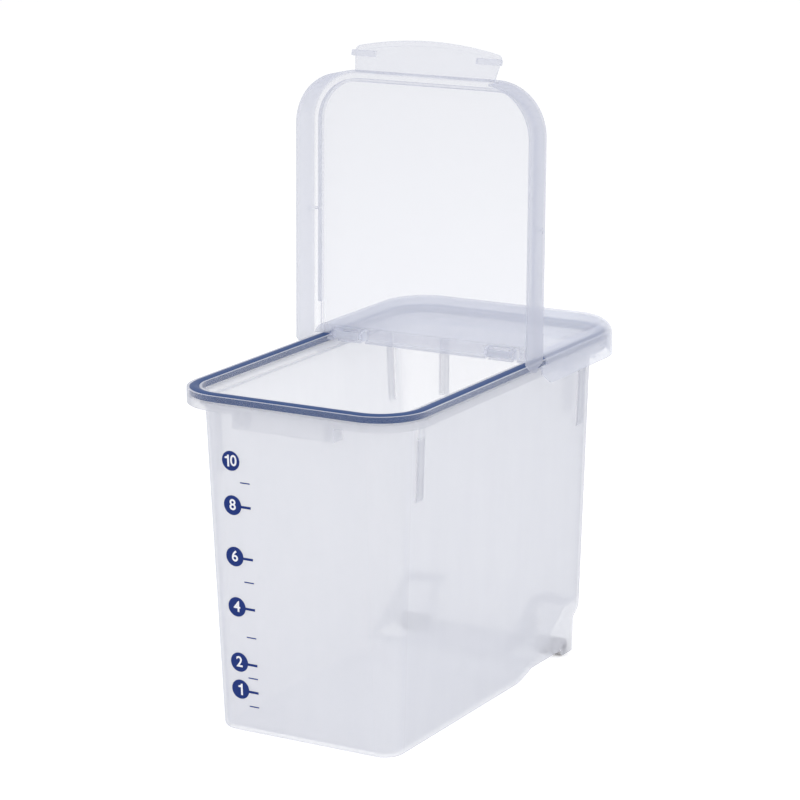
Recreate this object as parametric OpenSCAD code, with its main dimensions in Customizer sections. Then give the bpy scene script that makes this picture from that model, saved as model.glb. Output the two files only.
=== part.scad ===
// Rice bin with flip lid: a tall drafted tub on two rear rollers, closed by a
// fixed rear cover and a front lid that hinges on the cover and latches in front.
// Origin at the middle of the footprint on the floor, front towards -Y, up is +Z.

/* [Tub] */
// Width over the rim
rim_w = 213; // [205:1:225]
// Depth over the rim, front to back
rim_d = 372; // [350:1:390]
// Height of the rim's top edge
rim_h = 281; // [260:1:300]
// Plan radius of the rim's corners
rim_r = 41.5; // [38:0.5:46]
// How far the rim stands out beyond the wall below it
rim_overhang = 14.3; // [13.5:0.1:15.5]
// How far the wall leans in from under the rim to the floor
draft = 10; // [8:0.5:12]
// Wall thickness of the tub
wall = 2.2; // [1.8:0.1:2.8]
// Thickness of the floor
floor_t = 2.5; // [2:0.1:3]
// Outer radius where the walls meet the floor
base_fillet = 4; // [3:0.5:6]

/* [Rim] */
// Height of the rim's outer skirt
skirt_h = 12.3; // [11.5:0.1:14]
// Thickness of the rim's outer skirt
skirt_t = 2; // [1.6:0.1:2.2]
// Thickness of the channel's inner wall
channel_wall = 1.8; // [1.4:0.1:2]
// Depth of the gasket channel
channel_h = 5.4; // [5:0.1:6]
// Depth of the ledge inside the rim
ledge_h = 11; // [10.5:0.1:11.8]
// Thickness of the ledge and of the channel's bottom
shelf_t = 1.8; // [1.5:0.1:2]

/* [Gasket] */
// Width of the gasket
gasket_w = 7.5; // [7:0.1:7.8]
// How far the gasket stands above the rim
gasket_proud = 1.2; // [0.8:0.1:1.6]
// Play on each side of the gasket in its channel
gasket_play = 0.3; // [0.2:0.05:0.4]

/* [Catch] */
// Width of the catch plate under the front of the rim
catch_w = 92; // [84:1:92]
// How far the catch plate hangs below the rim
catch_drop = 11.5; // [9:0.5:13]
// How far the catch plate lies behind the rim's face
catch_inset = 1; // [0.6:0.1:1.6]
// Width of the thicker block at each end of the catch plate
catch_end = 10; // [6:1:12]

/* [Pilasters] */
// Width of a pilaster on the tub's outside
nest_w = 9; // [6:1:12]
// How far a pilaster stands proud of the wall
nest_t = 2.2; // [1.5:0.1:2.4]
// Length of a pilaster below the ledge
nest_h = 64; // [40:1:80]
// Distance of a pilaster from the corner's tangent line
nest_set = 6; // [3:1:12]

/* [Rear floor and roller wells] */
// Clearance of the raised rear floor
rear_lift = 8.5; // [7:0.5:10]
// Distance of the front foot's end in front of the rear corners' centres
ramp_set = 106.5; // [96:0.5:120]
// Length of the rise
ramp_len = 28; // [20:1:36]
// Distance of a well's inner cheek from the middle plane
well_x = 46.5; // [44:0.5:50]
// Distance of the rollers' axis in front of the rear corners' centres
roller_set = 14; // [12:0.5:18]
// Slope of the well's front, in degrees
well_slope = 34; // [30:1:38]
// Height of the well's roof above the roller
well_top = 44; // [40:1:50]
// How far the wells' cheeks run on behind the axis
cheek_back = 9; // [8.8:0.1:11]
// Height at which the rear undercut starts to slope back
cheek_step = 33; // [28:1:38]
// Height at which the rear undercut meets the rear wall
undercut_top = 50; // [46:1:54]

/* [Rollers] */
// Radius of a roller
roller_r = 7.5; // [7:0.1:8.6]
// Diameter of a roller axle
axle_d = 3; // [2.5:0.1:3.5]
// Play between a roller and the bosses at its ends
roller_play = 0.4; // [0.3:0.1:0.8]
// Radial play of a roller on its axle
roller_bore_play = 0.08; // [0.05:0.01:0.1]
// Depth of a roller's deep tread groove
groove_t = 1.6; // [1.2:0.1:3]
// Width of a roller's deep tread groove
groove_w = 3.2; // [1.5:0.1:4]
// Distance of the deep groove from the roller's outer end
groove_in = 6.8; // [5:0.1:10]
// Radius of the bosses that hold an axle
boss_r = 4.6; // [4:0.1:5]
// How far an axle boss stands off its cheek
boss_h = 1.6; // [1.2:0.1:3]
// Height of the inner axle boss, which keeps the roller near the side wall
hub_h = 6; // [3:0.5:8]

/* [Lid] */
// How far the closed lid's top lies above the rim
cap_rise = 9.5; // [9:0.5:11]
// Clearance between the lid's skirt and the rim
lid_gap = 0.5; // [0.4:0.1:0.8]
// Thickness of the lid's skirt
lid_wall = 1.6; // [1.4:0.1:1.8]
// Thickness of the lid's panel
lid_top_t = 2; // [1.6:0.1:2.4]
// Depth of the lid's skirt
lid_skirt = 31; // [28:0.5:33]
// Outer radius between the panel and the skirt
lid_edge = 5; // [3:0.5:5.5]
// Angle past closed at which the lid stands open
lid_open = 91.7; // [88:0.1:95]
// Depth of the lid's front wall above the latch
front_wall = 8.3; // [7.6:0.1:8.4]
// Thickness of the sealing rib under the panel
seal_t = 2.2; // [1.6:0.1:3]
// Distance of the bracing tabs in front of the lid's axis
tab_back = 104; // [60:1:140]
// Size of the nubs outside on the lid's skirt
nub = 1; // [0.6:0.1:1.2]
// Height of the bracing tabs
tab_h = 5; // [3:0.5:5]
// Gap between a sealing rib and the gasket
seal_gap = 0.2; // [0.1:0.1:0.5]

/* [Hinge] */
// Distance of the lid's axis behind the middle
hinge_y = 33; // [28:0.5:36]
// Radius of the hinge barrel, which is also the axis's depth under the top
barrel_r = 6; // [5.5:0.1:6.5]
// Thickness of the barrel's shell
barrel_t = 1.6; // [1.4:0.1:1.8]
// Distance of a knuckle's middle from the middle plane
knuckle_x = 71.5; // [60:0.5:74]
// Length of a knuckle
knuckle_l = 21; // [16:0.5:24]
// Diameter of a hinge pin
pin_d = 4; // [3.5:0.1:4.4]
// Radial play of a knuckle on its pin
pin_play = 0.1; // [0.05:0.01:0.1]
// Thickness of an ear that carries a pin
ear_t = 3; // [2.4:0.1:3.6]
// Play beside an ear
ear_play = 0.5; // [0.4:0.1:0.8]
// Width of the snap mouth in a knuckle
snap_w = 3.2; // [2.8:0.1:3.4]

/* [Latch] */
// Width of the latch flap at its hinge
flap_w = 129; // [120:1:131]
// How much wider the flap is at its free end
flap_flare = 6; // [2:1:7]
// Length of the flap in the middle
flap_l = 28; // [25:0.5:29]
// Length of the flap at its ends
flap_end_l = 20.5; // [18:0.5:22]
// Radius of the flap's corners
flap_r = 5; // [3:0.5:8]
// Thickness of the flap
flap_t = 1.6; // [1.4:0.1:1.8]
// Angle from latched at which the flap stands open
flap_open = 107; // [95:1:112]
// Length of the slot between the two living hinges
hinge_slot = 42; // [30:1:60]
// Thickness of the living hinge
web_t = 0.5; // [0.4:0.1:0.6]
// Distance of the hooks' upper faces below the flap's axis when latched
hook_drop = 12.3; // [11.8:0.1:12.6]
// Height of the hooks on the flap
hook_h = 4.5; // [3.5:0.1:5]
// How far the hooks reach in
hook_t = 2.7; // [2.4:0.1:3]
// Play between the hooks and the rim they catch
hook_play = 0.3; // [0.2:0.1:0.5]

/* [Cover] */
// How far the cover stands outside the lid's skirt
cover_gap = 0.3; // [0.3:0.05:0.5]
// Thickness of the cover
cover_wall = 1.8; // [1.6:0.1:2]
// Outer radius between the cover's top and sides
cover_edge = 12; // [10:0.5:13]
// Height of the cover's lower edge below its top
cover_skirt = 28.5; // [27:0.5:30]
// Gap between the hinge barrel and the cover's front wall
cover_front_gap = 0.5; // [0.4:0.1:0.8]
// How far the cover's front wall hangs below its top
front_rail = 10.5; // [9:0.5:12]
// Where the cover's side cheeks start, in front of the axis
cheek_fore = 1.2; // [0.5:0.1:2]
// Size of the cheeks' lower corner cut, along the skirt
cheek_cut_y = 15; // [10:1:18]
// Size of the cheeks' lower corner cut, up the skirt
cheek_cut_z = 9.5; // [6:0.5:12]
// Distance between the two snap hooks on each side
clip_pitch = 54; // [40:1:60]
// Width of a snap hook under the rim
clip_w = 18; // [12:1:24]
// Height of a snap hook
clip_h = 3.6; // [3:0.1:4.2]

/* [Hidden] */
$fn = 96;
eps = 0.01;
big = 600;

// Every outline is a rounded rectangle about the same four corner centres.
centre_x = rim_w / 2 - rim_r;
centre_y = rim_d / 2 - rim_r;

// Levels
cap_top = rim_h + cap_rise;
skirt_z = rim_h - skirt_h;
channel_z = rim_h - channel_h;
ledge_z = rim_h - ledge_h;
gasket_top = rim_h + gasket_proud;
seal_z = gasket_top + seal_gap;
bead_r = 5.75;
bead_z = 2.5;

// Radii about the corner centres
body_top_r = rim_r - rim_overhang;
body_base_r = body_top_r - draft;
channel_out_r = rim_r - skirt_t;
channel_in_r = channel_out_r - gasket_w - 2 * gasket_play;
rim_in_r = channel_in_r - channel_wall;
gasket_r = channel_out_r - gasket_play;
lid_in_r = rim_r + lid_gap;
lid_r = lid_in_r + lid_wall;
cover_in_r = lid_r + cover_gap;
cover_r = cover_in_r + cover_wall;
seal_r = channel_in_r + gasket_play + gasket_w / 2 - seal_t / 2;

// Front and rear faces
rim_front = -rim_d / 2;
lid_front = -(centre_y + lid_r);

// Rollers and wells
ramp_y = centre_y - ramp_set;
slope_per_z = draft / ledge_z;
axle_z = roller_r;
roller_y = centre_y - roller_set;
cheek_face = well_x + wall;
boss_in = cheek_face + hub_h;
side_in_r = body_base_r + slope_per_z * axle_z - wall;
boss_out = centre_x + side_in_r - boss_h;
roller_l = boss_out - boss_in - 2 * roller_play;
roller_x = (boss_in + boss_out) / 2;
axle_l = boss_out - boss_in + 2 * boss_h + 1.6;
well_y0 = roller_y - (well_top - rear_lift) / tan(well_slope);
cheek_end = roller_y + cheek_back;
lobe_z = axle_z - boss_r - 0.4;
rear_y = centre_y + body_base_r + slope_per_z * undercut_top;

// Hinge
axis_z = cap_top - barrel_r;
barrel_half = centre_x + rim_in_r - lid_gap;
barrel_in_r = barrel_r - barrel_t;
ear_in = knuckle_x - knuckle_l / 2 - ear_play;
ear_out = knuckle_x + knuckle_l / 2 + ear_play;
ear_r = barrel_in_r - 0.3;
rail_y = hinge_y + barrel_r + cover_front_gap;
seal_break = hinge_y - 26;

// Latch
flap_axis_z = skirt_z - hook_play + hook_drop;
flap_axis_y = lid_front + 0.3;
flap_side = flap_w / 2;
flap_half = flap_side + flap_flare / 2;
window_half = flap_half + 2.6;
slot_rise = 2.2;
wall_end_z = cap_top - front_wall;
hook_in = catch_w / 2 + 0.8;
hook_out = flap_half + 1.5;

web = 1.6;

lid_colour = [0.93, 0.94, 0.97];
tub_colour = [0.88, 0.89, 0.93];
cover_colour = [0.82, 0.83, 0.88];
gasket_colour = [0.27, 0.35, 0.52];
roller_colour = [0.58, 0.57, 0.59];
axle_colour = [0.72, 0.73, 0.75];

// Outline at a given radius about the corner centres
module outline(r) {
    square([2 * centre_x, 2 * (centre_y + r)], center = true);
    square([2 * (centre_x + r), 2 * centre_y], center = true);
    for (sx = [-1, 1], sy = [-1, 1])
        translate([sx * centre_x, sy * centre_y]) circle(r);
}

// Straight-sided slab on that outline
module slab(r, z0, z1) {
    translate([0, 0, z0]) linear_extrude(z1 - z0) outline(r);
}

// Ring between two outlines
module ring(r_in, r_out, z0, z1) {
    difference() {
        slab(r_out, z0, z1);
        slab(r_in, z0 - 1, z1 + 1);
    }
}

// A half section, drawn from the corner centre outwards, carried round the whole outline
module carried(z0, z1) {
    for (sx = [-1, 1], sy = [-1, 1])
        translate([sx * centre_x, sy * centre_y, 0]) rotate_extrude() children();
    rotate([90, 0, 0]) linear_extrude(2 * centre_y, center = true)
        full_section(centre_x, z0, z1) children();
    rotate([90, 0, 90]) linear_extrude(2 * centre_x, center = true)
        full_section(centre_y, z0, z1) children();
}

// The half section on both sides of a straight middle part
module full_section(half, z0, z1) {
    for (side = [0, 1]) mirror([side, 0]) translate([half, 0]) children();
    translate([-half, z0]) square([2 * half, z1 - z0]);
}

// Section of the drafted tub: radius at the floor level, bottom fillet, from z0 to z1
module drafted_section(r, fillet, z0, z1) {
    lean = sqrt(1 + slope_per_z * slope_per_z);
    r0 = r + slope_per_z * z0;
    fillet_u = r0 + fillet * (slope_per_z - lean);
    polygon([[0, z0], [fillet_u, z0],
             [fillet_u + fillet / lean, z0 + fillet * (1 - slope_per_z / lean)],
             [r + slope_per_z * z1, z1], [0, z1]]);
    intersection() {
        translate([fillet_u, z0 + fillet]) circle(fillet);
        square([r0 + fillet, z1]);
    }
}

module drafted(r, fillet, z0, z1) {
    carried(z0, z1) drafted_section(r, fillet, z0, z1);
}

// Section of a cap with a rounded upper edge
module cap_section(r, edge, z0, z1) {
    translate([0, z0]) square([r - edge, z1 - z0]);
    translate([0, z0]) square([r, z1 - z0 - edge]);
    translate([r - edge, z1 - edge]) circle(edge);
}

module cap(r, edge, z0, z1) {
    carried(z0, z1) cap_section(r, edge, z0, z1);
}

// A side profile drawn in Y and Z, carried across X from x0 to x1
module across(x0, x1) {
    translate([x0, 0, 0]) rotate([90, 0, 90]) linear_extrude(x1 - x0) children();
}

// The same on both sides of the middle plane
module both_sides() {
    for (side = [0, 1]) mirror([side, 0, 0]) children();
}

// Underside of the floor: flat foot, rise, raised rear part
module under_floor(lobe) {
    low = lobe ? lobe_z : rear_lift;
    polygon([[ramp_y, -1], [ramp_y, 0], [ramp_y + ramp_len, rear_lift],
             [roller_y - boss_r - 6, rear_lift], [roller_y - boss_r - 2, low],
             [cheek_end, low], [cheek_end, rear_lift], [big, rear_lift], [big, -1]]);
}

// Roof line over a roller well, raised by a wall thickness for the inside
module well_roof(rise) {
    polygon([[well_y0 - rise, -1], [well_y0 - rise, rear_lift], [well_y0 + 16 - rise, rear_lift + 11.5],
             [roller_y - 9 - rise, well_top - 5], [roller_y - rise / 2, well_top + rise],
             [big, well_top + rise], [big, -1]]);
}

// Undercut along the foot of the rear wall
module undercut(rise) {
    polygon([[cheek_end - rise, -1], [cheek_end - rise, cheek_step + rise / 2],
             [rear_y, undercut_top + rise], [big, undercut_top + rise], [big, -1]]);
}

module tub_cavity() {
    difference() {
        drafted(body_base_r - wall, base_fillet, floor_t, ledge_z + eps);
        across(-big / 2, big / 2)
            polygon([[ramp_y - 8, -1], [ramp_y, floor_t], [ramp_y + ramp_len, rear_lift + floor_t],
                     [big, rear_lift + floor_t], [big, -1]]);
        both_sides() across(well_x, big / 2) well_roof(wall);
        across(-big / 2, big / 2) undercut(wall);
    }
}

// Where the stacking pilasters stand: on the side walls near each corner and on the rear wall
module pilaster_places(width) {
    for (sx = [-1, 1], sy = [-1, 1])
        translate([sx * big / 4, sy * (centre_y - nest_set - nest_w / 2), big / 2])
            cube([big / 2, width, big], center = true);
    for (sx = [-1, 1])
        translate([sx * (centre_x - nest_w / 2), big / 4, big / 2])
            cube([width, big / 2, big], center = true);
}

// Upright band that stands proud of the walls and slopes back into them at its lower end
module proud_band(wall_r, low, high) {
    carried(low - nest_t, high)
        polygon([[0, low - nest_t], [wall_r + slope_per_z * (low - nest_t), low - nest_t],
                 [wall_r + slope_per_z * low + nest_t, low],
                 [wall_r + slope_per_z * high + nest_t, high], [0, high]]);
}

// Pilasters that keep stacked tubs from jamming, pressed outwards from the wall
module pilasters() {
    intersection() {
        proud_band(body_base_r, ledge_z - nest_h, skirt_z + 1);
        pilaster_places(nest_w);
    }
}

module pilaster_hollows() {
    intersection() {
        proud_band(body_base_r - wall, ledge_z - nest_h + wall / 2, ledge_z - shelf_t);
        pilaster_places(nest_w - 2 * wall);
    }
}

module roller_well() {
    intersection() {
        across(cheek_face, big / 2) well_roof(0);
        drafted(body_base_r - wall - 2 * slope_per_z, 1, -2, well_top + 10);
    }
}

module axle_bosses() {
    difference() {
        translate([0, roller_y, axle_z]) rotate([0, 90, 0]) union() {
            translate([0, 0, cheek_face - eps]) cylinder(r = boss_r, h = hub_h + eps);
            translate([0, 0, boss_out]) cylinder(r = boss_r, h = boss_h + 1);
        }
        translate([0, 0, -big + lobe_z]) cylinder(r = big, h = big);
    }
}

// Seat of an axle, open below so that it snaps in
module axle_seat() {
    translate([roller_x, roller_y, axle_z]) {
        rotate([0, 90, 0]) cylinder(d = axle_d + 0.1, h = axle_l + 0.2, center = true);
        translate([0, 0, -boss_r]) cube([axle_l + 0.2, axle_d - 0.5, 2 * boss_r], center = true);
    }
}

// Plate that hangs from the rim in front, with two webs back to the wall at each end
module catch_plate() {
    face = rim_front + catch_inset;
    top = channel_z - shelf_t + eps;
    low = skirt_z - catch_drop;
    wall_y = -(centre_y + body_base_r + slope_per_z * low) + wall / 2;
    translate([-catch_w / 2, face, low]) cube([catch_w, wall - 0.4, top - low]);
    both_sides()
        for (x = [catch_w / 2 - catch_end, catch_w / 2 - web])
            translate([x, face, low]) cube([web, wall_y - face, ledge_z - shelf_t / 2 - low]);
}

module bin_body() {
    color(tub_colour) difference() {
        union() {
            difference() {
                union() {
                    drafted(body_base_r, base_fillet, 0, ledge_z);
                    slab(rim_r, skirt_z, rim_h);
                    slab(channel_in_r, ledge_z - shelf_t, ledge_z + eps);
                    pilasters();
                }
                ring(channel_in_r, rim_r - skirt_t, skirt_z - eps, channel_z - shelf_t);
                ring(channel_in_r, channel_out_r, channel_z, rim_h + 1);
                slab(rim_in_r, ledge_z, rim_h + 1);
                tub_cavity();
                pilaster_hollows();
                across(-well_x, well_x) under_floor(false);
                both_sides() across(well_x - eps, big / 2) under_floor(true);
                across(-big / 2, big / 2) undercut(0);
                both_sides() roller_well();
            }
            both_sides() axle_bosses();
            catch_plate();
        }
        both_sides() axle_seat();
    }
}

// An open section carried round the outline as a closed ring
module looped() {
    for (turn = [0, 1]) rotate([0, 0, 180 * turn]) {
        translate([centre_x, centre_y, 0]) rotate_extrude(angle = 90) children();
        translate([-centre_x, centre_y, 0]) rotate([0, 0, 90]) rotate_extrude(angle = 90) children();
        translate([centre_x, 0, 0]) rotate([90, 0, 0])
            linear_extrude(2 * centre_y, center = true) children();
        translate([0, centre_y, 0]) rotate([90, 0, 90])
            linear_extrude(2 * centre_x, center = true) children();
    }
}

// Gasket section: a block in the channel with a shallow bead on top
module gasket_section() {
    r_mid = gasket_r - gasket_w / 2;
    intersection() {
        translate([r_mid, gasket_top - bead_r]) circle(bead_r);
        translate([gasket_r - gasket_w, channel_z + 1]) square([gasket_w, gasket_top - channel_z]);
    }
    translate([gasket_r - gasket_w, channel_z]) square([gasket_w, gasket_top - bead_z - channel_z]);
}

module rim_gasket() {
    color(gasket_colour) looped() gasket_section();
}

module hinge_cylinder(r, x0, x1) {
    translate([x0, hinge_y, axis_z]) rotate([0, 90, 0]) cylinder(r = r, h = x1 - x0);
}

// Side view of the lid's skirt behind the axis, where it tucks into the cover
module lid_lobe() {
    bottom = cap_top - lid_skirt;
    tuck_z = cap_top - cover_edge - 0.5;
    polygon([[hinge_y - 20, bottom], [hinge_y + 1.5, bottom], [hinge_y + 5, bottom + 4],
             [hinge_y + 9, bottom + 10], [hinge_y + 10.2, bottom + 15.5], [hinge_y + 9.6, tuck_z - 1],
             [hinge_y + 8, tuck_z], [hinge_y + barrel_r, tuck_z + 0.6], [hinge_y + 4, axis_z + 1],
             [hinge_y, axis_z + 2.5], [hinge_y - 20, axis_z + 2.5]]);
}

module lid_shell() {
    bottom = cap_top - lid_skirt;
    intersection() {
        difference() {
            cap(lid_r, lid_edge, bottom, cap_top);
            cap(lid_in_r, lid_edge - lid_wall, bottom - 1, cap_top - lid_top_t);
        }
        union() {
            translate([-big / 2, -big + hinge_y, 0]) cube([big, big, big]);
            both_sides() translate([barrel_half, 0, 0]) cube([big, hinge_y + 1.5, big]);
        }
    }
    intersection() {
        ring(lid_in_r, lid_r, bottom, axis_z + 2.5);
        both_sides() across(centre_x, big / 2) lid_lobe();
    }
}

// Quarter-round lip along the lid's rear edge, concentric with the axis
module lid_barrel() {
    intersection() {
        difference() {
            hinge_cylinder(barrel_r, -barrel_half, barrel_half);
            hinge_cylinder(barrel_in_r, -big / 2, big / 2);
        }
        translate([-big / 2, hinge_y - eps, axis_z]) cube([big, big, big]);
    }
    both_sides() hinge_cylinder(barrel_r - eps, knuckle_x - knuckle_l / 2, knuckle_x + knuckle_l / 2);
}

// Rib under the panel that presses on the gasket, lower near the hinge
module lid_seal() {
    intersection() {
        ring(seal_r, seal_r + seal_t, seal_z, cap_top - lid_top_t + eps);
        translate([-big / 2, -big + seal_break, 0]) cube([big, big, big]);
    }
    intersection() {
        ring(seal_r, seal_r + seal_t, cap_top - lid_top_t - 1.6, cap_top - lid_top_t + eps);
        translate([-big / 2, seal_break - eps, 0]) cube([big, hinge_y - seal_break, big]);
    }
}

// Small tabs that brace the sealing rib against the skirt
module seal_tabs() {
    both_sides()
        translate([centre_x + seal_r, hinge_y - tab_back - web / 2, cap_top - lid_top_t - tab_h])
            cube([lid_in_r - seal_r + 0.5, web, tab_h + eps]);
}

// Small nubs outside on the skirt, in line with the tabs
module side_nubs() {
    both_sides()
        translate([centre_x + lid_r - 1, hinge_y - tab_back - 2 * nub, cap_top - lid_edge - tab_h])
            cube([1 + nub, 4 * nub, 2 * nub]);
}

// Two thin webs on which the latch flap bends
module living_hinge() {
    both_sides()
        translate([hinge_slot / 2, flap_axis_y - web_t / 2, flap_axis_z + flap_t / 2 + 0.3])
            cube([flap_side - hinge_slot / 2, web_t, wall_end_z - flap_axis_z]);
}

module lid_closed() {
    difference() {
        union() {
            difference() {
                union() {
                    lid_shell();
                    lid_seal();
                    seal_tabs();
                    side_nubs();
                }
                translate([-window_half, -big, 0]) cube([2 * window_half, big + rim_front, wall_end_z]);
                translate([-hinge_slot / 2, -big, 0]) cube([hinge_slot, big + rim_front, wall_end_z + slot_rise]);
            }
            lid_barrel();
            living_hinge();
        }
        both_sides() {
            for (x = [ear_in - ear_t - ear_play, ear_out - ear_play])
                translate([x, hinge_y - ear_r - ear_play, axis_z - barrel_r - 1])
                    cube([ear_t + 2 * ear_play, 2 * barrel_r, 2 * barrel_r + 2]);
            hinge_cylinder(pin_d / 2 + pin_play, ear_in, ear_out);
            translate([ear_in, hinge_y, axis_z]) rotate([-135, 0, 0])
                translate([0, -snap_w / 2, 0]) cube([ear_out - ear_in, snap_w, barrel_r + 1]);
        }
    }
}

// Swings a piece drawn in the closed position to the open lid
module on_open_lid() {
    translate([0, hinge_y, axis_z]) rotate([-lid_open, 0, 0]) translate([0, -hinge_y, -axis_z]) children();
}

module flip_lid() {
    color(lid_colour) on_open_lid() lid_closed();
}

// Outline of the flap, hanging from its axis, with a bowed free edge and round corners
module flap_outline() {
    sag = flap_l - flap_end_l;
    bow_r = (flap_half * flap_half + sag * sag) / (2 * sag);
    corner_x = flap_half - flap_r;
    corner_y = bow_r - flap_l - sqrt(pow(bow_r - flap_r, 2) - corner_x * corner_x);
    polygon([[-flap_side, 0], [flap_side, 0], [flap_half, corner_y], [-flap_half, corner_y]]);
    intersection() {
        translate([0, bow_r - flap_l]) circle(bow_r, $fn = 360);
        translate([-corner_x, -flap_l]) square([2 * corner_x, flap_l - 1]);
    }
    for (sx = [-1, 1]) translate([sx * corner_x, corner_y]) circle(flap_r);
}

// Latched position: the flap hangs in front of the rim with its hooks under it
module flap_latched() {
    translate([0, flap_axis_y, flap_axis_z]) {
        rotate([90, 0, 0]) linear_extrude(flap_t, center = true) flap_outline();
        rotate([0, 90, 0]) cylinder(r = flap_t / 2, h = flap_w, center = true);
        both_sides()
            translate([hook_in, 0, -hook_drop - hook_h]) cube([hook_out - hook_in, flap_t / 2 + hook_t, hook_h]);
        // pull edge, thicker along the free edge
        rotate([90, 0, 0]) translate([0, 0, flap_t / 2 - eps]) linear_extrude(0.8) difference() {
            flap_outline();
            translate([0, 4]) flap_outline();
        }
    }
}

module latch_flap() {
    color(lid_colour) on_open_lid()
        translate([0, flap_axis_y, flap_axis_z]) rotate([-flap_open, 0, 0])
            translate([0, -flap_axis_y, -flap_axis_z]) flap_latched();
}

// Side view of the cover in front of its full section: cheeks with a cut lower corner
module cheek_profile() {
    bottom = cap_top - cover_skirt;
    front = hinge_y - cheek_fore;
    polygon([[front, bottom + cheek_cut_z], [front + cheek_cut_y, bottom], [rail_y + 20, bottom],
             [rail_y + 20, cap_top - cover_edge], [front, cap_top - cover_edge]]);
}

module cover_shell() {
    bottom = cap_top - cover_skirt;
    difference() {
        intersection() {
            difference() {
                cap(cover_r, cover_edge, bottom, cap_top);
                cap(cover_in_r, cover_edge - cover_wall, bottom - 1, cap_top - cover_wall);
            }
            translate([-big / 2, rail_y, 0]) cube([big, big, big]);
        }
        // lower front corners
        across(-big / 2, big / 2)
            polygon([[0, 0], [0, bottom + cheek_cut_z], [hinge_y - cheek_fore, bottom + cheek_cut_z],
                     [hinge_y - cheek_fore + cheek_cut_y, bottom], [hinge_y - cheek_fore + cheek_cut_y, 0]]);
    }
    intersection() {
        ring(cover_in_r, cover_r, bottom, cap_top - cover_edge);
        both_sides() across(centre_x, big / 2) cheek_profile();
    }
}

// Wall across the front of the cover, just behind the hinge barrel
module cover_rail() {
    intersection() {
        translate([-barrel_half, rail_y, cap_top - front_rail]) cube([2 * barrel_half, cover_wall, front_rail]);
        cap(cover_r - 0.5, cover_edge, 0, cap_top - 0.1);
    }
}

// Ears that reach forward from the rail and carry the hinge pins
module hinge_ears() {
    both_sides() {
        for (x = [ear_in - ear_t, ear_out]) {
            hinge_cylinder(ear_r, x, x + ear_t);
            translate([x, hinge_y, axis_z - ear_r]) cube([ear_t, rail_y - hinge_y + 1, 2 * ear_r]);
        }
        hinge_cylinder(pin_d / 2, ear_in - 1, ear_out + 1);
    }
}

// Rib under the cover that presses on the gasket
module cover_seal() {
    intersection() {
        ring(seal_r, seal_r + seal_t, seal_z, cap_top - cover_wall + eps);
        translate([-big / 2, rail_y, 0]) cube([big, big, big]);
    }
}

// A snap hook on the cover's skirt, reaching under the rim, and the spacer above it
module cover_clip() {
    translate([-clip_w / 2, 0, skirt_z - hook_play - clip_h])
        cube([clip_w, cover_in_r - rim_r + 3.2 + eps, clip_h]);
    for (x = [-clip_w / 2, clip_w / 2 - 1.6])
        translate([x, 3.2 + lid_gap, skirt_z - hook_play - clip_h])
            cube([1.6, cover_in_r - rim_r - lid_gap + eps, skirt_h + clip_h]);
}

module cover_clips() {
    reach = 3.2;
    both_sides() {
        for (y = [centre_y - 8 - clip_pitch, centre_y - 8])
            translate([centre_x + rim_r - reach, y, 0]) rotate([0, 0, -90]) cover_clip();
        translate([centre_x - 12, centre_y + rim_r - reach, 0]) cover_clip();
    }
}

module rear_cover() {
    color(cover_colour) union() {
        cover_shell();
        cover_rail();
        cover_seal();
        cover_clips();
        hinge_ears();
    }
}

// Roller with a deep tread groove near its outer end and a fine one near its inner end
module roller(side) {
    color(roller_colour) translate([side * roller_x, roller_y, axle_z]) rotate([0, 90, 0])
        difference() {
            cylinder(r = roller_r, h = roller_l, center = true);
            cylinder(d = axle_d + 2 * roller_bore_play, h = roller_l + 2, center = true);
            tread_groove(side * (roller_l / 2 - groove_in), groove_w, groove_t);
            tread_groove(side * (groove_in + 2 - roller_l / 2), groove_w / 2, groove_t / 2);
        }
}

module tread_groove(z, w, depth) {
    translate([0, 0, z]) difference() {
        cylinder(r = roller_r + 1, h = w, center = true);
        cylinder(r = roller_r - depth, h = w + 2, center = true);
    }
}

module axle(side) {
    color(axle_colour) translate([side * roller_x, roller_y, axle_z]) rotate([0, 90, 0])
        cylinder(d = axle_d, h = axle_l, center = true);
}

module roller_left() {
    roller(-1);
}

module roller_right() {
    roller(1);
}

module axle_left() {
    axle(-1);
}

module axle_right() {
    axle(1);
}

bin_body();
rim_gasket();
rear_cover();
flip_lid();
latch_flap();
roller_left();
roller_right();
axle_left();
axle_right();
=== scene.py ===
import math

import bpy
from mathutils import Matrix, Vector


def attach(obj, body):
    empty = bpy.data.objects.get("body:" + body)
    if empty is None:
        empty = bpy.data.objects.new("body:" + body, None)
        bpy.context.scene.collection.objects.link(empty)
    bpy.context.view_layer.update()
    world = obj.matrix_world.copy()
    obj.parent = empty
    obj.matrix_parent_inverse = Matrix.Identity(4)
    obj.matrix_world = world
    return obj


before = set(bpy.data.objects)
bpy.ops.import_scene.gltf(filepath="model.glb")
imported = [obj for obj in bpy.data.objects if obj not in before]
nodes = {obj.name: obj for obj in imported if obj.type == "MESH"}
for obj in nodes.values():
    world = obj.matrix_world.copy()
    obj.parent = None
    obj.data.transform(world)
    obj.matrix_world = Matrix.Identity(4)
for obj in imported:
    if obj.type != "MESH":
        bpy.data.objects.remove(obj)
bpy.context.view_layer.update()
mm = 0.001


# A hex colour, as a screen shows it, turned to the linear colour that a shader wants
def linear(hexColour):
    parts = [int(hexColour[i:i + 2], 16) / 255 for i in (1, 3, 5)]
    lit = [c / 12.92 if c <= 0.04045 else ((c + 0.055) / 1.055) ** 2.4 for c in parts]
    return tuple(lit) + (1.0,)


def newMaterial(name):
    mat = bpy.data.materials.new(name)
    mat.use_nodes = True
    mat.node_tree.nodes.clear()
    return mat


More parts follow.
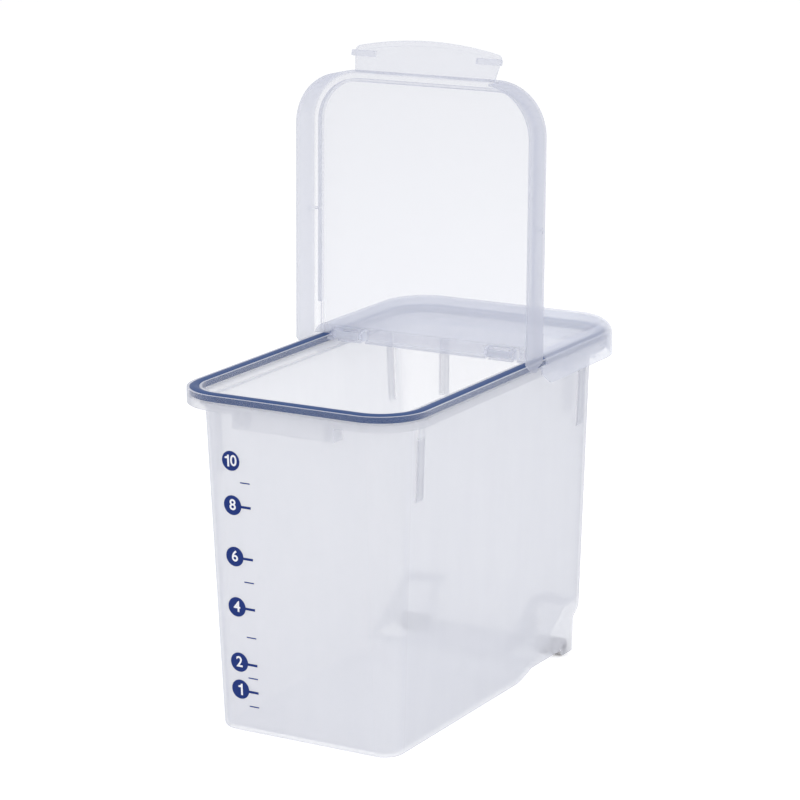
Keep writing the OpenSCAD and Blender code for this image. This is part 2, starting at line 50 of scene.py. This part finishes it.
# Adds one node to a material or the world. Settings go on sockets by name or number, or else on the node
# itself, and links feed its inputs.
def addNode(owner, kind, settings=None, links=None):
    tree = owner.node_tree
    node = tree.nodes.new(kind)
    for key, value in (settings or {}).items():
        if isinstance(key, int) or key in node.inputs:
            node.inputs[key].default_value = value
        else:
            setattr(node, key, value)
    for key, source in (links or {}).items():
        tree.links.new(source, node.inputs[key])
    return node


def dress(node, mat):
    mesh = nodes[node].data
    mesh.materials.clear()
    mesh.materials.append(mat)


# The tub's wall, in millimetres. Its outline is a rounded oblong round four corner centres, which the rim
# shares, and the corners' radius grows with height.
tubWall = {"rimRadius": 41.5, "rimOverhang": 14.3, "draft": 10.0, "ledgeHeight": 270.0}
tubBox = nodes["bin_body"].bound_box
cornerX = max(corner[0] for corner in tubBox) / mm - tubWall["rimRadius"]
cornerY = max(corner[1] for corner in tubBox) / mm - tubWall["rimRadius"]
footRadius = tubWall["rimRadius"] - tubWall["rimOverhang"] - tubWall["draft"]
wallLean = tubWall["draft"] / tubWall["ledgeHeight"]

# Natural polypropylene, injection moulded: milky, so each skin hides part of what is behind it. The rim lies
# against the gasket, so it looks clearer there. Ribs and walls that are met end on show the plastic in its
# whole height: endAxis and endMm say which way such ends face and from where on.
tub = {
    "colour": "#E4E5EB",
    "shade": "#DDDFE6",  # in the denser flow streaks
    # painted shade, mixed in where a skin is seen edge on
    "edgePaintedShade": "#B4B7C6",  # seen edge on
    "clearness": 0.69,  # what one skin lets through, seen straight on
    "rimClearness": 0.94,
    "rimMm": 275.0,
    "endAxis": (0.0, 0.0, 1.0),
    "endMm": 280.0,
    "endTurn": 0.8,  # how squarely a face has to look along the axis
    "endHiding": 0.9,
    "edge": 0.9,  # what a skin hides, seen edge on
    "edgePower": 2.0,
    # painted shade on the stacking pilasters, laid on as strongly as they hide
    "foldPaintedShade": "#A9ABB8",
    "foldHidingAndShade": 0.68,
    "foldTopMm": 255.0,
    "foldMm": 0.4,
    "glow": 0.45,  # share of the light that comes through from behind
    "lightThrough": 0.6,
    "roughness": (0.26, 0.4),
    "flowMm": 45.45,
    "flowStretch": 4.0,
    "clouds": 0.04,
    "grainMm": 0.9,
    "grainDeepMm": 0.2,
    "bump": 0.04,
}
# The lid and flap are the tub's plastic; their darker colours are painted shade.
lid = dict(
    tub, colour="#D1D4E0", shade="#CBCEDB", edgePaintedShade="#B8BBCB", clearness=0.81, rimClearness=0.81,
    endAxis=(0.0, -0.99956, 0.02967), endMm=-25.5, endHiding=0.5, edge=0.79, edgePower=1.3,
    roughness=(0.36, 0.5), grainMm=0.7, bump=0.03, foldHidingAndShade=0.0,
)
flap = dict(
    lid, clearness=0.75, rimClearness=0.75, endAxis=(0.0, -0.947, 0.3206), endMm=130.0, endHiding=0.6,
)
# The cover's painted edge shade is about its own colour, so it darkens hardly at all.
cover = dict(
    lid, colour="#E0E3EE", shade="#D8DBE8", edgePaintedShade="#E0E4F1", clearness=0.77, rimClearness=0.77,
    endHiding=0.0, edge=0.51, glow=0.28,
)


# 1 where a skin stands proud of the tub's plain wall, as the stacking pilasters do, and 0 elsewhere. It
# places their extra hiding and their painted shade.
def standsProud(mat, coords, height, look):
    across = addNode(mat, "ShaderNodeVectorMath", {"operation": "ABSOLUTE"}, {0: coords.outputs["Object"]})
    corner = (cornerX * mm, cornerY * mm, 10.0)  # far up, so that height counts for nothing
    past = addNode(mat, "ShaderNodeVectorMath", {"operation": "SUBTRACT", 1: corner}, {0: across.outputs[0]})
    outside = addNode(mat, "ShaderNodeVectorMath", {"operation": "MAXIMUM", 1: (0.0, 0.0, 0.0)},
                      {0: past.outputs[0]})
    away = addNode(mat, "ShaderNodeVectorMath", {"operation": "LENGTH"}, {0: outside.outputs[0]})
    start = (footRadius + look["foldMm"]) * mm
    wallFace = addNode(mat, "ShaderNodeMath", {"operation": "MULTIPLY_ADD", 1: wallLean, 2: start},
                       {0: height})
    proud = addNode(mat, "ShaderNodeMath", {"operation": "GREATER_THAN"},
                    {0: away.outputs["Value"], 1: wallFace.outputs[0]})
    below = addNode(mat, "ShaderNodeMath", {"operation": "LESS_THAN", 1: look["foldTopMm"] * mm},
                    {0: height})
    both = addNode(mat, "ShaderNodeMath", {"operation": "MULTIPLY"},
                   {0: proud.outputs[0], 1: below.outputs[0]})
    return both.outputs[0]


# 1 on the ends of ribs and walls, and 0 elsewhere
def facesEndOn(mat, coords, look):
    turned = addNode(mat, "ShaderNodeVectorMath", {"operation": "DOT_PRODUCT", 1: look["endAxis"]},
                     {0: coords.outputs["Normal"]})
    faces = addNode(mat, "ShaderNodeMath", {"operation": "GREATER_THAN", 1: look["endTurn"]},
                    {0: turned.outputs["Value"]})
    reach = addNode(mat, "ShaderNodeVectorMath", {"operation": "DOT_PRODUCT", 1: look["endAxis"]},
                    {0: coords.outputs["Object"]})
    farEnough = addNode(mat, "ShaderNodeMath", {"operation": "GREATER_THAN", 1: look["endMm"] * mm},
                        {0: reach.outputs["Value"]})
    both = addNode(mat, "ShaderNodeMath", {"operation": "MULTIPLY"},
                   {0: faces.outputs[0], 1: farEnough.outputs[0]})
    return both.outputs[0]


def milkyPlastic(name, look):
    mat = newMaterial(name)
    coords = addNode(mat, "ShaderNodeTexCoord")
    place = addNode(mat, "ShaderNodeSeparateXYZ", {}, {0: coords.outputs["Object"]})
    height = place.outputs["Z"]

    # slow streaks where the melt flowed up the wall
    upright = (1.0, 1.0, 1 / look["flowStretch"])
    stretch = addNode(mat, "ShaderNodeMapping", {"Scale": upright}, {"Vector": coords.outputs["Object"]})
    flow = addNode(mat, "ShaderNodeTexNoise",
                   {"Scale": 1000 / look["flowMm"], "Detail": 3.0, "Roughness": 0.55},
                   {"Vector": stretch.outputs["Vector"]})
    streaks = flow.outputs["Fac"]

    # spark-eroded grain of the mould, drawn coarser than the real one so that it shows
    grain = addNode(mat, "ShaderNodeTexNoise", {"Scale": 1000 / look["grainMm"], "Detail": 2.0},
                    {"Vector": coords.outputs["Object"]})
    dents = addNode(mat, "ShaderNodeBump", {"Strength": look["bump"], "Distance": look["grainDeepMm"] * mm},
                    {"Height": grain.outputs["Fac"]})
    smooth, rough = look["roughness"]
    gloss = addNode(mat, "ShaderNodeMapRange", {"To Min": smooth, "To Max": rough}, {"Value": streaks})

    # a skin seen edge on is a longer way through the plastic, so it hides more
    facing = addNode(mat, "ShaderNodeLayerWeight", {"Blend": 0.5})
    slant = addNode(mat, "ShaderNodeMath", {"operation": "POWER", 1: look["edgePower"]},
                    {0: facing.outputs["Facing"]})
    inRim = addNode(mat, "ShaderNodeMath", {"operation": "GREATER_THAN", 1: look["rimMm"] * mm}, {0: height})
    flat = addNode(mat, "ShaderNodeMapRange",
                   {"To Min": 1 - look["clearness"], "To Max": 1 - look["rimClearness"]},
                   {"Value": inRim.outputs[0]})
    dense = addNode(mat, "ShaderNodeMapRange", {"To Max": look["edge"]},
                    {"Value": slant.outputs[0], "To Min": flat.outputs[0]})
    clouds = addNode(mat, "ShaderNodeMapRange", {"To Min": 1 - look["clouds"], "To Max": 1 + look["clouds"]},
                     {"Value": streaks})
    skinHiding = addNode(mat, "ShaderNodeMath", {"operation": "MULTIPLY", "use_clamp": True},
                         {0: dense.outputs[0], 1: clouds.outputs[0]})
    endHiding = addNode(mat, "ShaderNodeMath", {"operation": "MULTIPLY", 1: look["endHiding"]},
                        {0: facesEndOn(mat, coords, look)})
    denser = addNode(mat, "ShaderNodeMath", {"operation": "MAXIMUM"},
                     {0: skinHiding.outputs[0], 1: endHiding.outputs[0]})

    # the stacking pilasters are folds in the wall, where the eye meets the plastic twice, so they hide more;
    # their darker tone is painted shade
    foldHidingAndShade = addNode(mat, "ShaderNodeMath", {"operation": "MULTIPLY", 1: look["foldHidingAndShade"]},
                         {0: standsProud(mat, coords, height, look)})
    seen = addNode(mat, "ShaderNodeMath", {"operation": "MAXIMUM"},
                   {0: denser.outputs[0], 1: foldHidingAndShade.outputs[0]})

    # the plastic scatters most light forwards, so more light comes through than can be seen through
    path = addNode(mat, "ShaderNodeLightPath")
    lightWay = addNode(mat, "ShaderNodeMath", {"operation": "MAXIMUM"},
                       {0: path.outputs["Is Shadow Ray"], 1: path.outputs["Is Diffuse Ray"]})
    let = addNode(mat, "ShaderNodeMapRange", {"To Min": 1.0, "To Max": 1 - look["lightThrough"]},
                  {"Value": lightWay.outputs[0]})
    hiding = addNode(mat, "ShaderNodeMath", {"operation": "MULTIPLY"},
                     {0: seen.outputs[0], 1: let.outputs[0]})

    tone = addNode(mat, "ShaderNodeMix",
                   {"data_type": "RGBA", 6: linear(look["shade"]), 7: linear(look["colour"])}, {0: streaks})
    # painted shade: a skin darkens as the eye meets it more slantwise
    paintedEdgeTone = addNode(mat, "ShaderNodeMix", {"data_type": "RGBA", 7: linear(look["edgePaintedShade"])},
                       {0: slant.outputs[0], 6: tone.outputs[2]})
    # painted shade on the pilasters, as strong as their extra hiding
    skinTone = addNode(mat, "ShaderNodeMix", {"data_type": "RGBA", 7: linear(look["foldPaintedShade"])},
                       {0: foldHidingAndShade.outputs[0], 6: paintedEdgeTone.outputs[2]})
    skin = addNode(mat, "ShaderNodeBsdfPrincipled", {"IOR": 1.49},
                   {"Base Color": skinTone.outputs[2], "Roughness": gloss.outputs[0],
                    "Normal": dents.outputs[0]})
    glow = addNode(mat, "ShaderNodeBsdfTranslucent", {}, {"Color": tone.outputs[2]})
    body = addNode(mat, "ShaderNodeMixShader", {"Fac": look["glow"]},
                   {1: skin.outputs[0], 2: glow.outputs[0]})
    clear = addNode(mat, "ShaderNodeBsdfTransparent")
    whole = addNode(mat, "ShaderNodeMixShader", {},
                    {0: hiding.outputs[0], 1: clear.outputs[0], 2: body.outputs[0]})
    addNode(mat, "ShaderNodeOutputMaterial", {}, {"Surface": whole.outputs[0]})
    return mat


print("plastics")
dress("bin_body", milkyPlastic("tub moulded polypropylene", tub))
dress("flip_lid", milkyPlastic("lid moulded polypropylene", lid))
dress("latch_flap", milkyPlastic("flap moulded polypropylene", flap))
dress("rear_cover", milkyPlastic("cover moulded polypropylene", cover))

# Thermoplastic elastomer, moulded: soft and a little dusty, so its shine is broad and weak
gasket = {
    "colour": "#2A4272",
    "dust": "#355081",
    "roughness": (0.42, 0.62),
    "gloss": 0.3,
    "grainMm": 0.35,
    "grainDeepMm": 0.1,
    "bump": 0.05,
    "patchMm": 16.67,
}

# Filled nylon, moulded: dull grey, and paler where the floor has scuffed the tread
rollers = dict(gasket, colour="#A9A8AD", dust="#BEBCBB", roughness=(0.47, 0.67), gloss=0.4, grainMm=0.4)


def dullMoulding(name, look):
    mat = newMaterial(name)
    coords = addNode(mat, "ShaderNodeTexCoord")
    grain = addNode(mat, "ShaderNodeTexNoise", {"Scale": 1000 / look["grainMm"], "Detail": 3.0},
                    {"Vector": coords.outputs["Object"]})
    patches = addNode(mat, "ShaderNodeTexNoise", {"Scale": 1000 / look["patchMm"], "Detail": 4.0},
                      {"Vector": coords.outputs["Object"]})
    tone = addNode(mat, "ShaderNodeMix",
                   {"data_type": "RGBA", 6: linear(look["colour"]), 7: linear(look["dust"])},
                   {0: patches.outputs["Fac"]})
    smooth, rough = look["roughness"]
    gloss = addNode(mat, "ShaderNodeMapRange", {"To Min": smooth, "To Max": rough},
                    {"Value": patches.outputs["Fac"]})
    dents = addNode(mat, "ShaderNodeBump", {"Strength": look["bump"], "Distance": look["grainDeepMm"] * mm},
                    {"Height": grain.outputs["Fac"]})
    skin = addNode(mat, "ShaderNodeBsdfPrincipled", {"IOR": 1.5, "Specular IOR Level": look["gloss"]},
                   {"Base Color": tone.outputs[2], "Roughness": gloss.outputs[0],
                    "Normal": dents.outputs[0]})
    addNode(mat, "ShaderNodeOutputMaterial", {}, {"Surface": skin.outputs[0]})
    return mat


print("gasket and rollers")
dress("rim_gasket", dullMoulding("gasket moulded elastomer", gasket))
rollerNylon = dullMoulding("roller moulded nylon", rollers)
dress("roller_left", rollerNylon)
dress("roller_right", rollerNylon)

# Steel wire, drawn: the die's marks run along the axle and draw its shine out lengthwise
axles = {
    "colour": "#B4B6BA",
    "roughness": (0.2, 0.42),
    "streakMm": 0.167,
    "streakLength": 50.0,
    "streakDeepMm": 0.02,
    "bump": 0.2,
}


def drawnSteel(name, look):
    mat = newMaterial(name)
    coords = addNode(mat, "ShaderNodeTexCoord")
    lengthwise = addNode(mat, "ShaderNodeMapping", {"Scale": (1 / look["streakLength"], 1.0, 1.0)},
                         {"Vector": coords.outputs["Object"]})
    marks = addNode(mat, "ShaderNodeTexNoise", {"Scale": 1000 / look["streakMm"], "Detail": 2.0},
                    {"Vector": lengthwise.outputs["Vector"]})
    smooth, rough = look["roughness"]
    gloss = addNode(mat, "ShaderNodeMapRange", {"To Min": smooth, "To Max": rough},
                    {"Value": marks.outputs["Fac"]})
    dents = addNode(mat, "ShaderNodeBump", {"Strength": look["bump"], "Distance": look["streakDeepMm"] * mm},
                    {"Height": marks.outputs["Fac"]})
    skin = addNode(mat, "ShaderNodeBsdfPrincipled", {"Metallic": 1.0, "Base Color": linear(look["colour"])},
                   {"Roughness": gloss.outputs[0], "Normal": dents.outputs[0]})
    addNode(mat, "ShaderNodeOutputMaterial", {}, {"Surface": skin.outputs[0]})
    return mat


print("axles")
steel = drawnSteel("axle drawn steel", axles)
dress("axle_left", steel)
dress("axle_right", steel)

# Level scale on the front wall, in millimetres: discs with numerals, and ticks beside and between them.
# Heights are measured up from the floor, and x from the middle of the tub.
scale = {
    "discX": -57.8,
    "discRadius": 8.1,
    "discSides": 64,
    "tickX": -45.4,
    "tickLong": 9.0,
    "tickStart": 0.95,  # where in the disc a thick tick begins
    "thickMm": 2.1,
    "thinMm": 1.0,
    "digitMm": 12.4,
    "digitBold": 0.2,
    "oneHigh": 9.6,
    "oneGap": 1.1,
    "discs": {"10": 226.3, "8": 190.0, "6": 147.6, "4": 105.7, "2": 59.2, "1": 36.3},
    "thickTicks": [189.6, 147.0, 105.3, 58.5, 35.4],
    "thinTicks": [209.5, 127.6, 81.5, 47.2, 23.2],
}

# Outline of the numeral 1, as shares of its height
one = [(0.23, 0), (0.41, 0), (0.41, 1), (0.28, 1), (0.2, 0.87), (0, 0.8), (0, 0.67), (0.23, 0.67)]

# Ink, screen printed: an even film with a soft shine, a little uneven from the screen's mesh, which is drawn
# coarser than the real one so that it shows
ink = {
    "blue": "#0C2C76",
    "white": "#F4F5FA",
    "proudMm": 0.05,
    "filmMm": 0.03,
    "meshMm": 0.667,
    "meshDeepMm": 0.05,
    "meshTone": 0.9,
    "bump": 0.1,
    "roughness": (0.3, 0.5),
    "gloss": 0.2,
}


# Point on the front wall's outer face, in metres, from millimetres along it
def onWall(x, z, proud):
    return Vector((x * mm, -(cornerY + footRadius + wallLean * z + proud) * mm, z * mm))


def printedInk(name, colour):
    mat = newMaterial(name)
    coords = addNode(mat, "ShaderNodeTexCoord")
    mesh = addNode(mat, "ShaderNodeTexNoise", {"Scale": 1000 / ink["meshMm"], "Detail": 3.0},
                   {"Vector": coords.outputs["Object"]})
    smooth, rough = ink["roughness"]
    gloss = addNode(mat, "ShaderNodeMapRange", {"To Min": smooth, "To Max": rough},
                    {"Value": mesh.outputs["Fac"]})
    dents = addNode(mat, "ShaderNodeBump", {"Strength": ink["bump"], "Distance": ink["meshDeepMm"] * mm},
                    {"Height": mesh.outputs["Fac"]})
    full = linear(colour)
    thin = [c * ink["meshTone"] for c in full[:3]] + [1.0]
    tone = addNode(mat, "ShaderNodeMix", {"data_type": "RGBA", 6: thin, 7: full},
                   {0: mesh.outputs["Fac"]})
    skin = addNode(mat, "ShaderNodeBsdfPrincipled", {"IOR": 1.5, "Specular IOR Level": ink["gloss"]},
                   {"Base Color": tone.outputs[2], "Roughness": gloss.outputs[0],
                    "Normal": dents.outputs[0]})
    addNode(mat, "ShaderNodeOutputMaterial", {}, {"Surface": skin.outputs[0]})
    return mat


# Shapes are lists of points on the wall's face and of the polygons between them
def printOnTub(name, shapes, proud, mat):
    verts, faces = [], []
    for points, polygons in shapes:
        start = len(verts)
        verts += [onWall(x, z, proud) for x, z in points]
        faces += [[start + i for i in polygon] for polygon in polygons]
    mesh = bpy.data.meshes.new(name)
    mesh.from_pydata(verts, [], faces)
    mesh.materials.append(mat)
    obj = bpy.data.objects.new(name, mesh)
    bpy.context.scene.collection.objects.link(obj)
    film = obj.modifiers.new("ink", "SOLIDIFY")
    film.thickness = ink["filmMm"] * mm
    film.offset = -1
    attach(obj, "bin")


def discs():
    sides = scale["discSides"]
    turns = [2 * math.pi * i / sides for i in range(sides)]
    ring = [(scale["discRadius"] * math.cos(a), scale["discRadius"] * math.sin(a)) for a in turns]
    return [([(scale["discX"] + x, z + y) for x, y in ring], [list(range(sides))])
            for z in scale["discs"].values()]


def ticks(heights, left, thickness):
    right = scale["tickX"] + scale["tickLong"] / 2
    half = thickness / 2
    return [([(left, z - half), (right, z - half), (right, z + half), (left, z + half)], [[0, 1, 2, 3]])
            for z in heights]


def fontDigits(word):
    curve = bpy.data.curves.new("numeral", "FONT")
    curve.body = word
    curve.align_x = "CENTER"
    curve.align_y = "CENTER"
    curve.size = scale["digitMm"]
    curve.offset = scale["digitBold"]
    holder = bpy.data.objects.new("numeral", curve)
    bpy.context.scene.collection.objects.link(holder)
    bpy.context.view_layer.update()
    flat = bpy.data.meshes.new_from_object(holder.evaluated_get(bpy.context.evaluated_depsgraph_get()))
    points = [(v.co.x, v.co.y) for v in flat.vertices]
    polygons = [list(f.vertices) for f in flat.polygons]
    bpy.data.objects.remove(holder)
    bpy.data.meshes.remove(flat)
    return points, polygons


# Numerals in Blender's own font, apart from the 1, whose flag that font lacks
def numerals():
    shapes = []
    high = scale["oneHigh"]
    oneWide = high * max(x for x, y in one)
    for word, z in scale["discs"].items():
        hasOne = "1" in word
        rest = word.replace("1", "")
        points, polygons = fontDigits(rest) if rest else ([], [])
        restWide = 2 * max((x for x, y in points), default=0.0)
        gap = scale["oneGap"] if hasOne and rest else 0.0
        wide = restWide + gap + (oneWide if hasOne else 0.0)
        middle = scale["discX"] + (wide - restWide) / 2
        left = scale["discX"] - wide / 2
        if rest:
            shapes.append(([(middle + x, z + y) for x, y in points], polygons))
        if hasOne:
            outline = [(left + high * x, z + high * (y - 0.5)) for x, y in one]
            shapes.append((outline, [list(range(len(one)))]))
    return shapes


print("level scale")
thickLeft = scale["discX"] + scale["discRadius"] * scale["tickStart"]
thinLeft = scale["tickX"] - scale["tickLong"] / 2
marks = discs()
marks += ticks(scale["thickTicks"], thickLeft, scale["thickMm"])
marks += ticks(scale["thinTicks"], thinLeft, scale["thinMm"])
printOnTub("level_scale", marks, ink["proudMm"], printedInk("printed blue ink", ink["blue"]))
printOnTub("level_numerals", numerals(), ink["proudMm"] * 2, printedInk("printed white ink", ink["white"]))

# White tent: plain even light, with a white floor and sky for the camera
studio = {
    "sky": 0.776,
    "floorColour": "#F6F6F7",
    "floorLift": 0.27,  # brings the lit floor just up to white
    "floorSize": 14.0,
    "floorPlace": (0.0, 1.0, 0.0),
    "aim": (0.0, 0.0, 0.25),
    "lamps": {
        "key": {"place": (-1.6, -1.8, 2.2), "size": 1.6, "watts": 14.5},
        "over": {"place": (0.2, 0.3, 2.6), "size": 2.0, "watts": 14.0},
        "fill": {"place": (2.2, -0.8, 1.4), "size": 1.8, "watts": 10.0},
    },
}


# 1 for what the eye sees, straight, mirrored or through something clear, and 0 for light that lands on things
def seenByEye(owner):
    path = addNode(owner, "ShaderNodeLightPath")
    either = addNode(owner, "ShaderNodeMath", {"operation": "MAXIMUM"},
                     {0: path.outputs["Is Camera Ray"], 1: path.outputs["Is Glossy Ray"]})
    anyOf = addNode(owner, "ShaderNodeMath", {"operation": "MAXIMUM"},
                    {0: either.outputs[0], 1: path.outputs["Is Transmission Ray"]})
    return anyOf.outputs[0]


# Matt paper: it keeps the soft shadow, and its lift is only for the eye
def paperFloor():
    bpy.ops.mesh.primitive_plane_add(size=studio["floorSize"], location=studio["floorPlace"])
    floor = bpy.context.object
    floor.name = "floor"
    mat = newMaterial("matt floor paper")
    lift = addNode(mat, "ShaderNodeMath", {"operation": "MULTIPLY", 1: studio["floorLift"]},
                   {0: seenByEye(mat)})
    paper = addNode(mat, "ShaderNodeBsdfDiffuse", {"Color": linear(studio["floorColour"])})
    glow = addNode(mat, "ShaderNodeEmission", {}, {"Strength": lift.outputs[0]})
    both = addNode(mat, "ShaderNodeAddShader", {}, {0: paper.outputs[0], 1: glow.outputs[0]})
    addNode(mat, "ShaderNodeOutputMaterial", {}, {"Surface": both.outputs[0]})
    floor.data.materials.append(mat)


def whiteWorld():
    world = bpy.data.worlds.new("tent")
    bpy.context.scene.world = world
    world.use_nodes = True
    world.node_tree.nodes.clear()
    strength = addNode(world, "ShaderNodeMapRange", {"To Min": studio["sky"], "To Max": 1.0},
                       {"Value": seenByEye(world)})
    tent = addNode(world, "ShaderNodeBackground", {"Color": (1.0, 1.0, 1.0, 1.0)},
                   {"Strength": strength.outputs[0]})
    addNode(world, "ShaderNodeOutputWorld", {}, {"Surface": tent.outputs[0]})


def softLamp(name, place, size, watts):
    lamp = bpy.data.lights.new(name, "AREA")
    lamp.energy = watts
    lamp.size = size
    obj = bpy.data.objects.new(name, lamp)
    obj.location = place
    obj.rotation_mode = "QUATERNION"
    obj.rotation_quaternion = (Vector(place) - Vector(studio["aim"])).to_track_quat("Z", "Y")
    bpy.context.scene.collection.objects.link(obj)


print("studio")
paperFloor()
whiteWorld()
for name, lamp in studio["lamps"].items():
    softLamp(name, lamp["place"], lamp["size"], lamp["watts"])

# Camera as in the photograph, in degrees and metres, with sensor and lens in millimetres
camera = {
    "azimuth": 30.51,
    "elevation": 14.08,
    "roll": -0.504,
    "distance": 2.54166,
    "target": (-0.00525, 0.0015, 0.2436),
    "lens": 140.2,
    "sensor": 36.0,
    "farthest": 50.0,
}


def placeCamera():
    a, e, r = (math.radians(camera[k]) for k in ("azimuth", "elevation", "roll"))
    back = Vector((math.sin(a) * math.cos(e), -math.cos(a) * math.cos(e), math.sin(e)))
    side = Vector((math.cos(a), math.sin(a), 0))
    above = back.cross(side)
    right = side * math.cos(r) + above * math.sin(r)
    up = above * math.cos(r) - side * math.sin(r)
    data = bpy.data.cameras.new("camera")
    data.sensor_width = camera["sensor"]
    data.lens = camera["lens"]
    data.clip_end = camera["farthest"]
    cam = bpy.data.objects.new("camera", data)
    turn = Matrix((right, up, back)).transposed().to_4x4()
    cam.matrix_world = Matrix.Translation(Vector(camera["target"]) + back * camera["distance"]) @ turn
    bpy.context.scene.collection.objects.link(cam)
    bpy.context.scene.camera = cam


print("camera")
placeCamera()
scene = bpy.context.scene
scene.view_settings.view_transform = "Standard"
scene.cycles.transparent_max_bounces = 48  # the eye may cross many thin skins one after another

print("finish")
